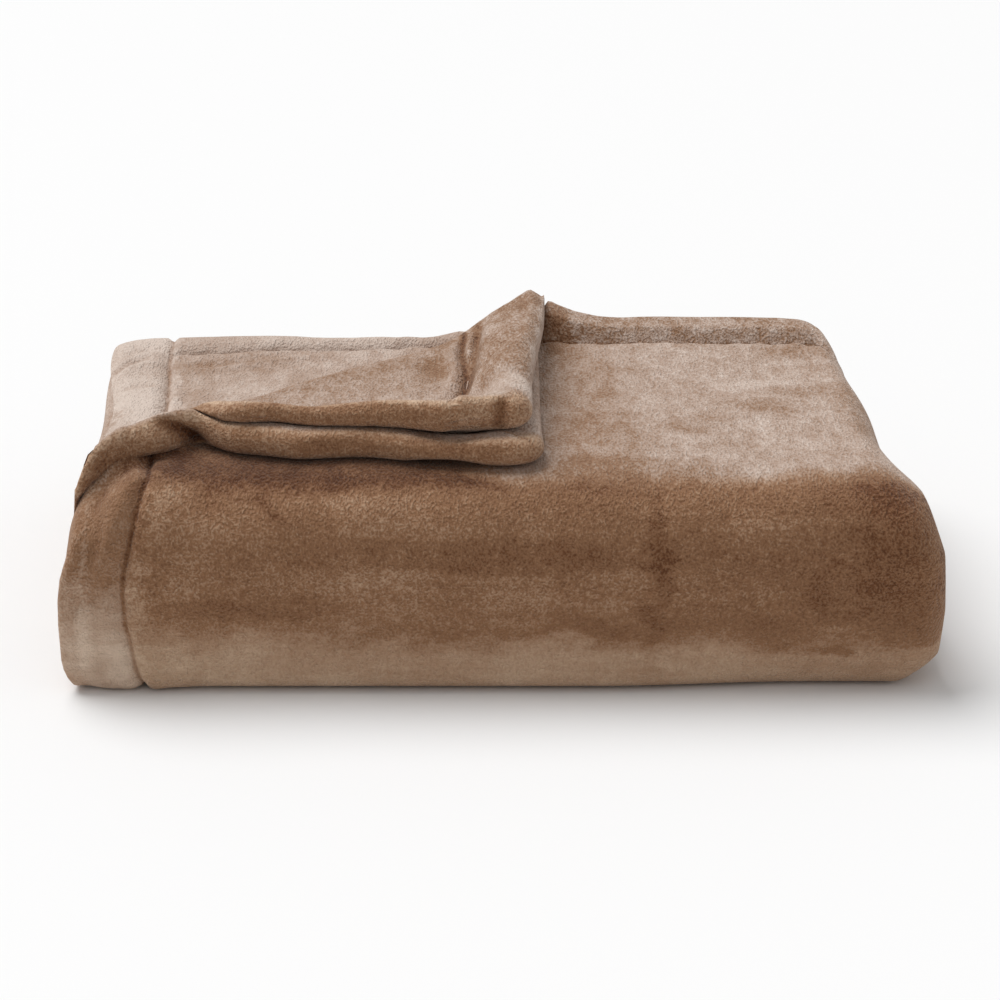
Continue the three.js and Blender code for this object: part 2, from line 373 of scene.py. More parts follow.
def turned_edges(x, y, ply, s):
    """How far a place is inside the front and the right edge of a turned ply."""
    inset = TURN_LENGTHS[ply] / math.sqrt(2)
    from_front = y - s.corner - inset - from_table(x, ROLLS, 3 + ply)
    from_right = s.depth - s.corner - inset + right_edge_out(y, ply) - x
    return from_front, from_right


def turned_faces(x, y, order, s):
    """Lower and upper face over the stack of a turned ply at a place, given as x from the left."""
    base = s.height + s.gap
    slim = 1 - smooth(x, *SLIM_END)
    for ply in range(order + 1):
        from_front, from_right = turned_edges(x, y, ply, s)
        edge = np.maximum(soft_min(np.maximum(from_front, 0), np.maximum(from_right, 0), CORNER_ROUND), 0)
        along_right = smooth(from_front, 0, 0.9 * (s.depth - s.corner))
        front_roll = from_table(x, ROLLS, 1 + ply)
        roll = front_roll + (BACK_ROLL - front_roll) * along_right
        reach = (
            0.42 * s.hem - 5 * slim - 10 * along_right,
            1.02 * s.hem - 15 * slim + 26 * along_right,
        )
        if ply == 0:
            over_edge = turned_edges(x, y, 1, s)[0]
            roll = roll - slim * (s.ply + s.gap) * smooth(over_edge, -3, 3)
        full, rounded = roll_shape(edge, roll, reach, s)
        lying = ply * slim
        if order == 0:
            sunk = from_table(x, POCKET) * (1 - smooth(edge, 16, 40))
            rounded = rounded - sunk * rounded / np.maximum(full, 1)
        rounded = rounded + (full * smooth(edge, -2, 22) - rounded) * lying
        low = base + (full - rounded) / 2 * (1 - lying) * (1 - 0.6 * slim)
        high = low + rounded
        base = base + s.gap + full + (high - base - full) * slim
    return low, high


def turn_corner(x, y, z, order, upper, relief, s):
    """Turns the corner of one of the top two plies over the fold line.

    upper marks the face that was uppermost before the turn. The swell of its hem and the depth of the
    creases on its roll come with the place.
    """
    beyond = (y - x - s.corner) / math.sqrt(2)
    spent = TURN_LENGTHS[order]
    foot_x = (x + y - s.corner) / 2
    flat = np.maximum(beyond - spent, 0) / math.sqrt(2)
    phase = math.pi * np.clip(beyond / spent, 0, 1)
    over = (1 - np.cos(phase)) / 2
    turned_x = foot_x + flat
    turned_y = foot_x + s.corner - flat
    pushed = from_table(turned_x, ROLLS, 3 + order) * smooth(150 - (turned_y - s.corner), 0, 130)
    turned_y = turned_y + pushed * over
    turned_x = turned_x + right_edge_out(turned_y, order) * over * smooth(turned_x, 60, 200)
    low, high = turned_faces(turned_x, turned_y, order, s)
    face = np.where(upper, low, high + relief * smooth(beyond, spent, spent + 20))
    above = low - s.height + (high - low) * np.where(upper, 0.1, 0.9)
    front = 1 - smooth(turned_edges(turned_x, turned_y, order, s)[0], 1, 12)
    deep = front * creases(turned_x, above, ROLL_CREASES[order]) * over
    turned_y = turned_y + deep
    if order == 0:
        at_front = 1 - smooth(turned_y - s.corner, 10, 60)
        turned_x = turned_x + TIP * over * at_front * smooth(turned_x, 240, 300)
    half = (face - z) / 2
    ends = smooth(foot_x, -10, 60)
    past = np.abs(half) * np.sin(phase) * (0.3 + 0.45 * ends) / math.sqrt(2)
    swell = (high - low) / 2 * over
    return turned_x - past, turned_y + past, z + 2 * half * over, swell, deep


# The hems


def along_line(u, v, points):
    """Distance from a line of points, negative on its right, and the nearest place on it from 0 to 1."""
    nearest = np.full(np.shape(u), 1e9)
    side = np.ones(np.shape(u))
    share = np.zeros(np.shape(u))
    runs = [math.dist(a, b) for a, b in zip(points, points[1:])]
    done = 0
    for (au, av), (bu, bv), run in zip(points, points[1:], runs):
        t = np.clip(((u - au) * (bu - au) + (v - av) * (bv - av)) / run**2, 0, 1)
        far = np.hypot(u - au - t * (bu - au), v - av - t * (bv - av))
        closer = far < nearest
        nearest = np.where(closer, far, nearest)
        turn = (bu - au) * (v - av) - (bv - av) * (u - au)
        side = np.where(closer, np.where(turn < 0, -1, 1), side)
        share = np.where(closer, (done + t * run) / sum(runs), share)
        done += run
    return nearest * side, share


def creases(u, v, rows):
    """Creases given in rows of height, half width and points, fading out at both ends."""
    total = np.zeros(np.shape(u))
    for height, half, points in rows:
        far, share = along_line(u, v, points)
        fade = np.sqrt(np.maximum(np.sin(math.pi * np.clip(share, 0.03, 0.97)), 0))
        total += height * fade * np.exp(-((far / half) ** 2))
    return total


def hem_relief(edge, along, seams, puff, seed, groove=2.4):
    """How far a hemmed face stands out: the puffed hem, its seam lines and the puckers beside them.

    seams are the distances from one seam, or from a side seam that runs through and a seam that ends at it.
    """
    inside = np.minimum.reduce(seams)
    band = smooth(edge, -2, 14) * (1 - smooth(inside, -13, 0))
    beside = smooth(inside, 0, 6) * (1 - smooth(inside, 6, 45))
    ends = smooth(seams[0], -2, 2) if len(seams) > 1 else 1
    line = np.maximum(hump(seams[0], 0, 2.4), hump(seams[-1], 0, 2.4) * ends)
    pucker = ripple(along, edge * 0.3, 24, seed) * hump(inside, 0, 18)
    return puff * band + 1.3 * beside - groove * line + 0.7 * pucker


# Creases: height, half width, and points by the distance from the side and from the back
TOP_CREASES = (
    (8.0, 8.0, ((76, 262), (54, 276), (38, 288), (26, 297), (12, 305))),
    (-3.2, 5.5, ((62, 287), (50, 296), (36, 306), (26, 314), (18, 326), (16, 345))),
    (3.5, 6.0, ((12, 292), (8, 310), (6, 330), (4, 352))),
    (2.5, 6.0, ((62, 306), (44, 318), (32, 332), (28, 350))),
    (-2.5, 5.0, ((28, 330), (20, 352), (12, 372))),
    (-2.0, 5.0, ((40, 352), (24, 366), (4, 372))),
    (-1.8, 5.0, ((36, 392), (18, 398), (2, 410))),
    (-2.0, 6.0, ((90, 320), (98, 327), (104, 330))),
    (1.5, 7.0, ((64, 312), (72, 326))),
)
THIRD_CREASES = (
    (2.0, 5.0, ((44, 86), (70, 87), (130, 68), (170, 60))),
    (-2.0, 6.0, ((50, 72), (90, 72), (150, 58))),
    (-3.4, 3.5, ((2, 86), (12, 70), (30, 54))),
    (2.4, 5.0, ((4, 100), (16, 84), (34, 70))),
    (-1.8, 4.5, ((2, 56), (20, 42), (42, 34))),
    (-1.5, 5.0, ((6, 130), (24, 122), (40, 124))),
    (-1.5, 5.0, ((48, 100), (60, 130), (54, 170))),
)
# On the turned corner: points by the distance from its right hem and from the side of the cloth
FLAP_SEAM = ((54, 330), (54, 228), (52, 188), (45, 150), (44, 128), (48, 107), (56, 90))
FLAP_CREASES = (
    (-5.0, 3.0, FLAP_SEAM),
    (3.5, 3.4, ((62, 330), (62, 232), (60, 190), (54, 152), (54, 128), (60, 104))),
    (-6.0, 4.0, ((43, 330), (44, 225), (40, 160), (38, 132), (40, 99), (45, 84))),
    (2.5, 3.0, ((49, 330), (50, 225), (46, 160))),
    (-3.5, 6.0, ((46, 170), (43, 130), (45, 92))),
    (2.5, 3.0, ((6, 330), (5, 220), (5, 120))),
    (-2.0, 2.5, ((12, 330), (11, 240), (10, 200))),
    (-4.0, 11.0, ((68, 148), (74, 190))),
    (2.0, 9.0, ((98, 90), (84, 112), (64, 135))),
    (-1.6, 6.0, ((112, 92), (93, 106), (62, 150))),
    (-2.0, 5.0, ((30, 110), (18, 150), (8, 170))),
    (1.6, 6.0, ((22, 100), (10, 130), (4, 150))),
)
# How much wider the front left hem is, by the place along the cloth
LEFT_HEM = np.array(
    [(60, 0), (250, 0), (300, 5), (312, 7), (321, 4), (333, 0), (345, -3), (365, -5), (380, -3), (392, 1),
     (408, 5)]
)
SEAM_WANDER = (1.2, 70)  # how far the seam lines wander, and over what length
SIDE_SEAM_IN = 4  # how much nearer its edge the side seam of the third ply lies
THIRD_GROOVE = 3.6  # depth of the seams of the third ply
FLAP_BAND = 6.5  # how far the hem of the turned corner stands up between its creases
FAR_SEAM = 1e3  # what counts as no seam near
THIRD_TURN = 0.11  # how far the third ply lies askew, as a slope
DROP_RADIUS = 12  # bend of its hem over the back of the stack
DROP_INSET = 8  # how far inside the back of the stack that bend starts


def seam_wander(along, seed):
    """How far a seam line lies to one side of its straight course."""
    height, wavelength = SEAM_WANDER
    return height * ripple(along, along * 0, wavelength, seed)


def outermost_relief(u, v, edge, s):
    """The outermost ply, which shows on the top and the front.

    Gives its relief, the depth of its creases and how far each place is from the seam line of its hem.
    """
    front_end = s.top_run + s.front_turn
    shown = 1 - smooth(v, front_end - 25, front_end)
    bare_to = s.depth - s.corner
    covered = (1 - smooth(v, bare_to - 60, bare_to - 35)) * (1 - smooth(u, 300, 325))
    at_side = u < 100
    puff = 3.4 + 5.6 * smooth(u, 250, 320) * (1 - smooth(u, 540, 575))
    puff = puff + 5 * smooth(u, 290, 318) * (1 - smooth(u, 325, 385))
    puff = puff - 2 * smooth(v, 375, 400) * at_side
    seam = edge - s.hem - from_table(v, LEFT_HEM) * at_side - seam_wander(u + v, 51)
    dents = creases(u, v, TOP_CREASES) * (1 - covered * smooth(u, 80, 110))
    relief = hem_relief(edge, u + v, (seam,), puff, 11) * (1 - covered) + dents
    return relief * shown, -dents * shown, np.where(covered < 0.5, seam, FAR_SEAM)


def third_relief(across, along, edge, s):
    """The third ply, which the turned corner leaves bare: the same as for the outermost one."""
    bare = smooth(s.depth - along - across - s.corner, -10, 30)
    wander = seam_wander(across + along, 52)
    side_seam, back_seam = across - s.hem + SIDE_SEAM_IN - wander, along - s.hem - wander
    nearer_seam = np.minimum(np.abs(side_seam), np.abs(back_seam))
    seam = np.where(side_seam < 0, side_seam, np.where(back_seam < 0, -nearer_seam, nearer_seam))
    dents = creases(across, along, THIRD_CREASES)
    relief = hem_relief(edge, across + along, (side_seam, back_seam), 4.0, 12, THIRD_GROOVE) + dents
    return relief * bare, -dents * bare, seam


def drop_back_hem(x, y, z, s):
    """Lays the third ply askew, so that its back hem falls over the back of the stack."""
    swung = y + THIRD_TURN * x * smooth(y, 60, 290) * (1 - smooth(x, 290, 430))
    over_edge = swung - s.depth + DROP_INSET
    bend = np.clip(over_edge / DROP_RADIUS, 0, math.pi / 2)
    beyond = np.maximum(over_edge - DROP_RADIUS * math.pi / 2, 0)
    height = z - (s.height - 2.5 * s.pitch)
    reach = DROP_RADIUS + height
    dropped_y = np.where(bend > 0, s.depth - DROP_INSET + reach * np.sin(bend), swung)
    dropped_z = np.where(bend > 0, z - reach * (1 - np.cos(bend)) - beyond, z)
    return dropped_y, dropped_z


def fold_cloth(u, v, side, s):
    """Folds the points u across and v along the flat cloth, on its upper (1) or lower (-1) face.

    Gives their places, how far each is from a seam line, how deep in a crease or close to the fold line it
    lies, and how far a swollen hem carries it away from its edge.
    """
    across = np.minimum(u, s.width - u)
    along = np.minimum(v, s.length - v)
    near_side = u < s.width / 2
    near_end = v < s.length / 2

    # A free edge is round.
    edge = soft_min(across, along, CORNER_ROUND)
    thick = s.ply / 2 * np.sqrt(np.maximum(1 - np.clip(1 - edge / (0.8 * s.ply), 0, 1) ** 2, 0.05))
    x1, z1 = fold_in_half(u, side * thick, s.width, s.bends[0])
    y2, z2 = fold_in_half(v, z1, s.length, s.bends[1])
    x, z3 = fold_in_half(x1, z2, s.half_width, s.bends[2])
    top_half = x1 <= s.third_run

    # The plies get their relief before the fold in thirds.
    outer = near_side & near_end & (side > 0) & (x1 < s.half_width / 2 + 30)
    third = ~near_side & ~near_end & top_half & (side > 0)
    relief, deep, line = outermost_relief(u, v, edge, s)
    z3 = z3 + np.where(outer, relief, 0)
    deep = np.where(outer, deep, 0)
    line = np.where(outer, line, FAR_SEAM)
    relief, dents, seam = third_relief(across, along, edge, s)
    z3 = z3 + np.where(third, relief, 0)
    deep = np.where(third, dents, deep)
    line = np.where(third, seam, line)

    y, z = letter_fold(y2, z3, s)
    askew = ~near_side & ~near_end & top_half & (y2 < s.top_run)
    dropped_y, dropped_z = drop_back_hem(x, y, z, s)
    y = np.where(askew, dropped_y, y)
    z = np.where(askew, dropped_z, z)

    # The turned corner of the top two plies
    drawn = along - RIGHT_EDGE_OUT[1]
    flap = creases(drawn, across, FLAP_CREASES)
    flap_top = ~near_side & near_end & top_half & (side > 0) & (y - x > s.corner)
    # Painted shade: beside the fold line the turned corner counts as deeper in a crease, so its colour is
    # darker.
    beside_fold = 1.7 * (1 - smooth(s.depth - s.corner - across - along, 20, 70))
    deep = np.where(flap_top, np.maximum(-flap, 0) + beside_fold, deep)
    seam, share = along_line(drawn, across, FLAP_SEAM)
    line = np.where(flap_top & (share > 0.01) & (share < 0.99), seam, line)
    flap_band = (1 - smooth(drawn, 36, 43)) * smooth(across, 60, 90)
    flap = flap + FLAP_BAND * flap_band
    swell = np.zeros(np.shape(x))
    for order, ply in enumerate((near_side & near_end, ~near_side & near_end)):
        upper = (side > 0) if order == 0 else (side < 0)
        corner = ply & top_half & (y2 < s.top_run + 40) & (y - x > s.corner)
        relief = order * flap  # only on the upper one of the two
        tx, ty, tz, swollen, pressed = turn_corner(x, s.depth - y2, z, order, upper, relief, s)
        x = np.where(corner, tx, x)
        y = np.where(corner, ty, y)
        z = np.where(corner, tz, z)
        swell = np.where(corner, swollen, swell)
        deep = np.where(corner, np.maximum(deep, pressed), deep)

    return *settle(x - s.stack_width / 2, y, z, s), line, np.maximum(deep, 0), swell


# Making the mesh


def stations(*stretches):
    """Places along an axis from stretches of start, end and longest step."""
    places = []
    for start, end, step in stretches:
        count = max(1, math.ceil((end - start) / step - 1e-6))
        places += [start + (end - start) * i / count for i in range(count)]
    return places + [stretches[-1][1]]


FINE = 16  # grid step where the cloth shows, before it is divided
COARSE = 26
CUTS = 4  # into how many more lines each step is divided where the cloth shows
CORNER_REACH = 350  # how far the turned corner takes up the cloth from its edges
HEM_MARGIN = 14  # how far past a seam line the close grid goes on


def edge_lines(s):
    """Grid lines beside a free edge: close at the round edge and along the seam line of the hem."""
    return (0, 4, 4), (4, s.hem - 6, 13), (s.hem - 6, s.hem + HEM_MARGIN, 10)


def both_halves(near, far, whole):
    """Places over the whole cloth, from those of its near half and, from the other edge, its far half."""
    return near + [whole - place for place in reversed(far[:-1])]


def across_stations(s):
    """Grid lines across the width: fine over the first quarter and under the turned corner."""
    first_run = straight_run(s.width, s.bends[0])
    quarter_end = s.third_run + math.pi * s.bends[2]
    folds = (s.third_run, quarter_end, 7), (quarter_end, first_run, COARSE), (first_run, s.width / 2, 2.5)
    start = s.hem + HEM_MARGIN
    near = stations(*edge_lines(s), (start, s.third_run, FINE), *folds)
    corner = (start, CORNER_REACH, FINE), (CORNER_REACH, s.third_run, COARSE)
    return both_halves(near, stations(*edge_lines(s), *corner, *folds), s.width)


def along_stations(s):
    """Grid lines along the length: fine over the top and the front, and under the turned corner."""
    front_end = s.top_run + s.front_turn
    bottom_end = front_end + s.bottom_run
    back_end = bottom_end + s.back_turn
    second_run = straight_run(s.length, s.bends[1])
    folds = (
        (front_end, bottom_end, COARSE),
        (bottom_end, back_end, 10),
        (back_end, second_run, COARSE),
        (second_run, s.length / 2, 4.5),
    )
    top = (s.hem + HEM_MARGIN, s.top_run, FINE)
    near, far = (
        stations(*edge_lines(s), top, (s.top_run, front_end, step), *folds) for step in (FINE, 20)
    )
    return both_halves(near, far, s.length)


def shows(u, v, upper, s):
    """Whether a place on one face of the flat cloth shows closely in the folded blanket."""
    across, along = min(u, s.width - u), min(v, s.length - v)
    turned = across + along < s.depth - s.corner + 30
    turned_hem = turned and min(across, along) < 60
    if v > s.length / 2:
        hem_behind = along < 60 and across < 420
        return u > s.width / 2 and (hem_behind or (turned and upper))
    if u > s.width / 2 or not upper:
        return turned_hem or (turned and upper)
    uncovered = max(across, along) > s.depth - s.corner - 24
    seen = across < s.third_run + 36 and along < s.top_run + s.front_turn + 10
    return turned_hem or (uncovered and seen)


def mesh_from(bm, name):
    """Turns a bmesh into a mesh and frees it."""
    mesh = bpy.data.meshes.new(name)
    bm.to_mesh(mesh)
    bm.free()
    return mesh


def sort_faces(bm):
    """Sorts the faces by their corners, because solidify leaves its rim in another order each run."""
    count = len(bm.verts)
    bm.verts.index_update()

    def rank(face):
        low, middle, *rest = sorted(vert.index for vert in face.verts)
        return (low * count + middle) * count + rest[-1]

    bm.faces.sort(key=rank)


def flat_cloth(s):
    """The flat cloth as a closed bmesh: a grid with the thickness of one ply, finer where it shows."""
    across = across_stations(s)
    along = along_stations(s)
    bm = bmesh.new()
    bmesh.ops.create_grid(
        bm, x_segments=len(across) - 1, y_segments=len(along) - 1, size=0.5, calc_uvs=False
    )
    for vert in bm.verts:
        vert.co.x = across[round((vert.co.x + 0.5) * (len(across) - 1))]
        vert.co.y = along[round((vert.co.y + 0.5) * (len(along) - 1))]
    bmesh.ops.solidify(bm, geom=bm.faces[:], thickness=s.ply)
    bmesh.ops.recalc_face_normals(bm, faces=bm.faces[:])
    divided = {}  # the edges as keys, which keeps their order the same in every run
    for face in bm.faces:
        middle = face.calc_center_median()
        if abs(face.normal.z) > 0.5 and shows(middle.x, middle.y, face.normal.z > 0, s):
            divided.update(dict.fromkeys(face.edges))
    bmesh.ops.subdivide_edges(
        bm, edges=list(divided), cuts=CUTS, use_grid_fill=True, use_single_edge=True
    )
    # The length runs from the back to the front, so folding turns the cloth inside out.
    bmesh.ops.reverse_faces(bm, faces=bm.faces[:])
    sort_faces(bm)
    return bm


def edge_spacing(place, length, reach=16):
    """Draws the grid lines nearest an edge closer to it, so that the edge can be round."""
    near = np.maximum(np.minimum(place, length - place), 0)
    closer = np.where(near < reach, reach * (near / reach) ** 1.5, near)
    return np.where(place < length / 2, closer, length - closer)


def round_corners(u, v, s):
    """Rounds the cut corners of the cloth, as soft_min measures them."""
    across, along = np.minimum(u, s.width - u), np.minimum(v, s.length - v)
    gap = np.clip((along - across) / CORNER_ROUND, -1, 1)
    inset = CORNER_ROUND * (1 - np.abs(gap)) ** 2 / 4
    inset = inset * (1 - smooth(np.minimum(across, along), 0, 130))
    u = u + np.where(u < s.width / 2, inset, -inset)
    v = v + np.where(v < s.length / 2, inset, -inset)
    return u, v


# Where the baked pictures have the cloth: places on it, and their share of an island's width or height
UPPER_ACROSS = ((0, 600, 1980, 2300), (0, 0.6, 0.7, 1))
LOWER_ACROSS = ((0, 310, 1990, 2300), (0, 0.3, 0.4, 1))
BAKED_ALONG = ((0, 480, 1680, 2000), (0, 0.6, 0.7, 1))
# Start and size of the islands: the upper and the lower face across, and both along
UPPER_ISLAND = (0.005, 0.68)
LOWER_ISLAND = (0.695, 0.30)
ISLAND_HEIGHT = (0.005, 0.99)
BAKED_RIM = 0.004  # width of the border that holds the round edge of the cloth
RIM_REACH = 9  # how near an edge of the cloth its rim is


def bake_map(mesh, u, v, side, s):
    """Gives the mesh its map for the baked pictures: one island for each face of the cloth.

    What shows has the most room. The round edge of the cloth is a thin border of the upper face's island.
    """
    corners = np.empty(len(mesh.loops), dtype=np.int32)
    mesh.loops.foreach_get("vertex_index", corners)
    sizes = np.empty(len(mesh.polygons), dtype=np.int32)
    mesh.polygons.foreach_get("loop_total", sizes)
    starts = np.cumsum(sizes) - sizes
    u, v, above = u[corners], v[corners], side[corners] > 0
    upper = np.repeat(np.logical_or.reduceat(above, starts), sizes)
    rim = upper & ~above
    (upper_start, upper_size), (lower_start, lower_size) = UPPER_ISLAND, LOWER_ISLAND
    across = np.where(
        upper,
        upper_start + upper_size * np.interp(u, *UPPER_ACROSS),
        lower_start + lower_size * np.interp(u, *LOWER_ACROSS),
    )
    along = ISLAND_HEIGHT[0] + ISLAND_HEIGHT[1] * np.interp(v, *BAKED_ALONG)
    for places, place, whole in ((across, u, s.width), (along, v, s.length)):
        at_edge = np.minimum(place, whole - place) < RIM_REACH
        places += np.where(rim & at_edge, np.where(place < whole / 2, -BAKED_RIM, BAKED_RIM), 0)
    layer = mesh.uv_layers.new(name="OFBake")
    layer.data.foreach_set("uv", np.column_stack([across, along]).ravel())


def material_places(u, v, side, swell, s):
    """Places on the flat cloth for the material, with the longer way round a swollen hem."""
    across, along = np.minimum(u, s.width - u), np.minimum(v, s.length - v)
    by_side = smooth(along - across, -12, 12)
    across = (across + swell * by_side) * np.where(by_side > 0.5, side, 1)
    along = (along + swell * (1 - by_side)) * np.where(by_side > 0.5, 1, side)
    u = np.where(u < s.width / 2, across, s.width - across)
    v = np.where(v < s.length / 2, along, s.length - along)
    return np.column_stack([u, v, side])


def blanket_mesh(s):
    """The folded blanket, with its map for baking and what the material reads at each point."""
    mesh = mesh_from(flat_cloth(s), PIECE)
    places = np.empty(len(mesh.vertices) * 3)
    mesh.vertices.foreach_get("co", places)
    places = places.reshape(-1, 3)
    levels = places[:, 2]
    side = np.where(levels > (levels.max() + levels.min()) / 2, 1, -1)
    u, v = edge_spacing(places[:, 0], s.width), edge_spacing(places[:, 1], s.length)
    u, v = round_corners(u, v, s)
    bake_map(mesh, u, v, side, s)
    x, y, z, line, deep, swell = fold_cloth(u, v, side, s)
    folded = np.column_stack([x, y - s.depth / 2, z]) * MM
    folded[:, 2] = np.maximum(folded[:, 2], 0)
    mesh.vertices.foreach_set("co", folded.ravel())
    cloth = mesh.attributes.new("cloth", "FLOAT_VECTOR", "POINT")
    cloth.data.foreach_set("vector", (material_places(u, v, side, swell, s) * MM).ravel())
    for name, values in (("seam", line), ("crease", deep)):
        mesh.attributes.new(name, "FLOAT", "POINT").data.foreach_set("value", values * MM)
    mesh.update()
    mesh.polygons.foreach_set("use_smooth", [True] * len(mesh.polygons))
    return mesh


# Materials


class Graph:
    """A node tree with one short call for each node."""

    def __init__(self, tree):
        self.tree = tree

    def add(self, kind, inputs=(), **settings):
        node = self.tree.nodes.new("ShaderNode" + kind)
        for name, value in settings.items():
            setattr(node, name, value)
        for key, value in dict(inputs).items():
            self.feed(node.inputs[key], value)
        return node

    def feed(self, socket, value):
        if isinstance(value, bpy.types.NodeSocket):
            self.tree.links.new(value, socket)
        else:
            socket.default_value = value

    def math(self, operation, *values):
        return self.add("Math", enumerate(values), operation=operation).outputs[0]

    def times(self, a, b):
        return self.math("MULTIPLY", a, b)

    def plus(self, value, *additions):
        """The value with each mask or texture added to it, times its amount."""
        for texture, amount in additions:
            value = self.math("MULTIPLY_ADD", texture, amount, value)
        return value

    def vector(self, operation, *values):
        return self.add("VectorMath", enumerate(values), operation=operation).outputs[0]

    def tint(self, amount, colour, by):
        """The colour multiplied by another one, as far as the amount says."""
        inputs = {0: amount, 6: colour, 7: (*by, 1)}
        return self.add("Mix", inputs, data_type="RGBA", blend_type="MULTIPLY").outputs[2]

    def span(self, value, low, high, low_to=0.0, high_to=1.0, step="SMOOTHSTEP"):
        """The value from low to high stretched over another range, without going past it."""
        inputs = enumerate((value, low, high, low_to, high_to))
        return self.add("MapRange", inputs, interpolation_type=step).outputs[0]

    def noise(self, vector, scale, detail=2.0, roughness=0.5, distortion=0.0):
        names = ("Vector", "Scale", "Detail", "Roughness", "Distortion")
        return self.add("TexNoise", zip(names, (vector, scale, detail, roughness, distortion)))

    def effect(self, group, **inputs):
        node = self.add("Group", node_tree=group)
        for name, value in inputs.items():
            self.feed(node.inputs[name.replace("_", " ").capitalize()], value)
        return node.outputs[0]


def new_group(name, inputs, output):
    """A shared effect: its group and graph, its input sockets and the socket of its one output."""
    group = bpy.data.node_groups.new(name, "ShaderNodeTree")
    for label, kind in inputs.items():
        group.interface.new_socket(label, in_out="INPUT", socket_type="NodeSocket" + kind)
    group.interface.new_socket(output, in_out="OUTPUT", socket_type="NodeSocketFloat")
    enter = group.nodes.new("NodeGroupInput")
    leave = group.nodes.new("NodeGroupOutput")
    sockets = [enter.outputs[label] for label in inputs]
    return group, Graph(group), sockets, leave.inputs[output]


def patch_group(name, square):
    """A patch of other nap, or of painted shadow: 1 inside an oval or a rectangle, 0 outside."""
    inputs = {"Vector": "Vector", "Centre": "Vector", "Radius": "Vector", "Inner": "Float", "Outer": "Float"}
    group, graph, (vector, centre, radius, inner, outer), mask = new_group(name, inputs, "Mask")
    away = graph.vector("DIVIDE", graph.vector("SUBTRACT", vector, centre), radius)
    if square:
        parts = graph.add("SeparateXYZ", {0: graph.vector("ABSOLUTE", away)})
        reach = graph.math("MAXIMUM", parts.outputs[0], parts.outputs[1])
    else:
        reach = graph.add("VectorMath", {0: away}, operation="LENGTH").outputs["Value"]
    graph.feed(mask, graph.span(reach, outer, inner))
    return group


def mottle_group():
    """Crushed nap: blotches with fairly sharp borders, from -1 to 1."""
    inputs = {"Vector": "Vector", "Scale": "Float", "Sharpness": "Float"}
    group, graph, (vector, scale, sharpness), value = new_group("crushed_nap", inputs, "Value")
    cloud = graph.noise(vector, scale, 3.0, 0.6, 0.25).outputs[0]
    half = graph.math("DIVIDE", 0.22, sharpness)
    low = graph.math("SUBTRACT", 0.5, half)
    high = graph.math("ADD", 0.5, half)
    graph.feed(value, graph.span(cloud, low, high, -1.0, 1.0))
    return group


def grain_group():
    """The pile itself: small tufts, from -1 to 1."""
    group, graph, (vector,), value = new_group("pile_grain", {"Vector": "Vector"}, "Value")
    tufts = graph.noise(vector, 680.0, 1.0).outputs[0]
    clumps = graph.noise(vector, 290.0, 1.0).outputs[0]
    both = graph.plus(graph.times(tufts, 0.7), (clumps, 0.3))
    graph.feed(value, graph.span(both, 0.32, 0.68, -1.0, 1.0, "LINEAR"))
    return group


def seam_group():
    """The stitched line of a hem, by the distance from it."""
    group, graph, (distance,), mask = new_group("hem_seam", {"Distance": "Float"}, "Mask")
    graph.feed(mask, graph.span(graph.math("ABSOLUTE", distance), 0.0026, 0.0004))
    return group


# Patches of darker or lighter nap, on the cloth in millimetres: centre across and along, half width, half
# length, softness of the border, and amount
# The first oval and the first block, just under the rolls, are painted shadow.
NAP_AND_SHADOW_OVALS = (
    (140, 300, 60, 10, 0.6, -0.12), (208, 329, 32, 9, 0.6, 0.09), (314, 321, 66, 8, 0.6, -0.03),
    (190, 359, 48, 4, 0.6, 0.09), (113, 372, 55, 4, 0.6, -0.14), (345, 383, 30, 3, 0.5, -0.12),
    (512, 388, 54, 3, 0.5, -0.18), (456, 336, 34, 3, 0.5, 0.1), (545, 350, 38, 44, 0.5, -0.12),
    (387, 358, 8, 36, 0.5, -0.18), (138, 328, 6, 9, 0.5, -0.18), (65, 325, 10, 13, 0.4, 0.18),
    (53, 338, 8, 13, 0.5, -0.12), (60, 358, 10, 12, 0.5, -0.08), (495, 363, 7, 18, 0.6, -0.08),
    (22, 352, 26, 12, 0.6, -0.07), (340, 150, 26, 95, 0.3, -0.16), (352, 266, 40, 66, 0.4, -0.14),
    (428, 225, 26, 16, 0.5, -0.16), (478, 185, 28, 15, 0.5, -0.16), (520, 155, 28, 15, 0.5, -0.16),
    (475, 141, 40, 11, 0.5, 0.08), (482, 223, 38, 12, 0.5, 0.09), (372, 302, 62, 16, 0.5, -0.18),
    (535, 66, 34, 17, 0.4, -0.2), (552, 316, 20, 15, 0.5, -0.2), (326, 44, 13, 30, 0.4, -0.3),
    (375, 120, 12, 110, 0.6, -0.06), (566, 190, 15, 64, 0.5, -0.14), (2280, 1845, 26, 46, 0.5, 0.11),
    (2200, 1920, 46, 13, 0.6, -0.08), (2256, 22, 16, 22, 0.5, 0.16), (2121, 66, 32, 13, 0.6, -0.07),
)
NAP_AND_SHADOW_BLOCKS = (
    (166, 289, 114, 28, 0.25, -0.7), (40, 294, 38, 15, 0.3, -0.34), (288, 350, 90, 6, 0.5, -0.13),
    (110, 404, 90, 28, 0.3, 0.12), (330, 412, 300, 25, 0.26, 0.35), (476, 350, 94, 32, 0.12, -0.05),
    (24, 401, 28, 48, 0.42, 0.33), (24, 332, 28, 14, 0.35, 0.01), (440, 20, 130, 26, 0.1, -0.1),
    (2276, 1900, 26, 130, 0.12, 0.18), (2180, 1978, 110, 24, 0.15, 0.12),
    (2120, 22, 110, 20, 0.3, -0.2), (2140, 3, 150, 5, 0.6, 0.2), (2140, 190, 175, 142, 0.1, -0.09),
    (2300, 130, 18, 170, 0.3, -0.23), (0, 130, 24, 170, 0.3, -0.27),
)
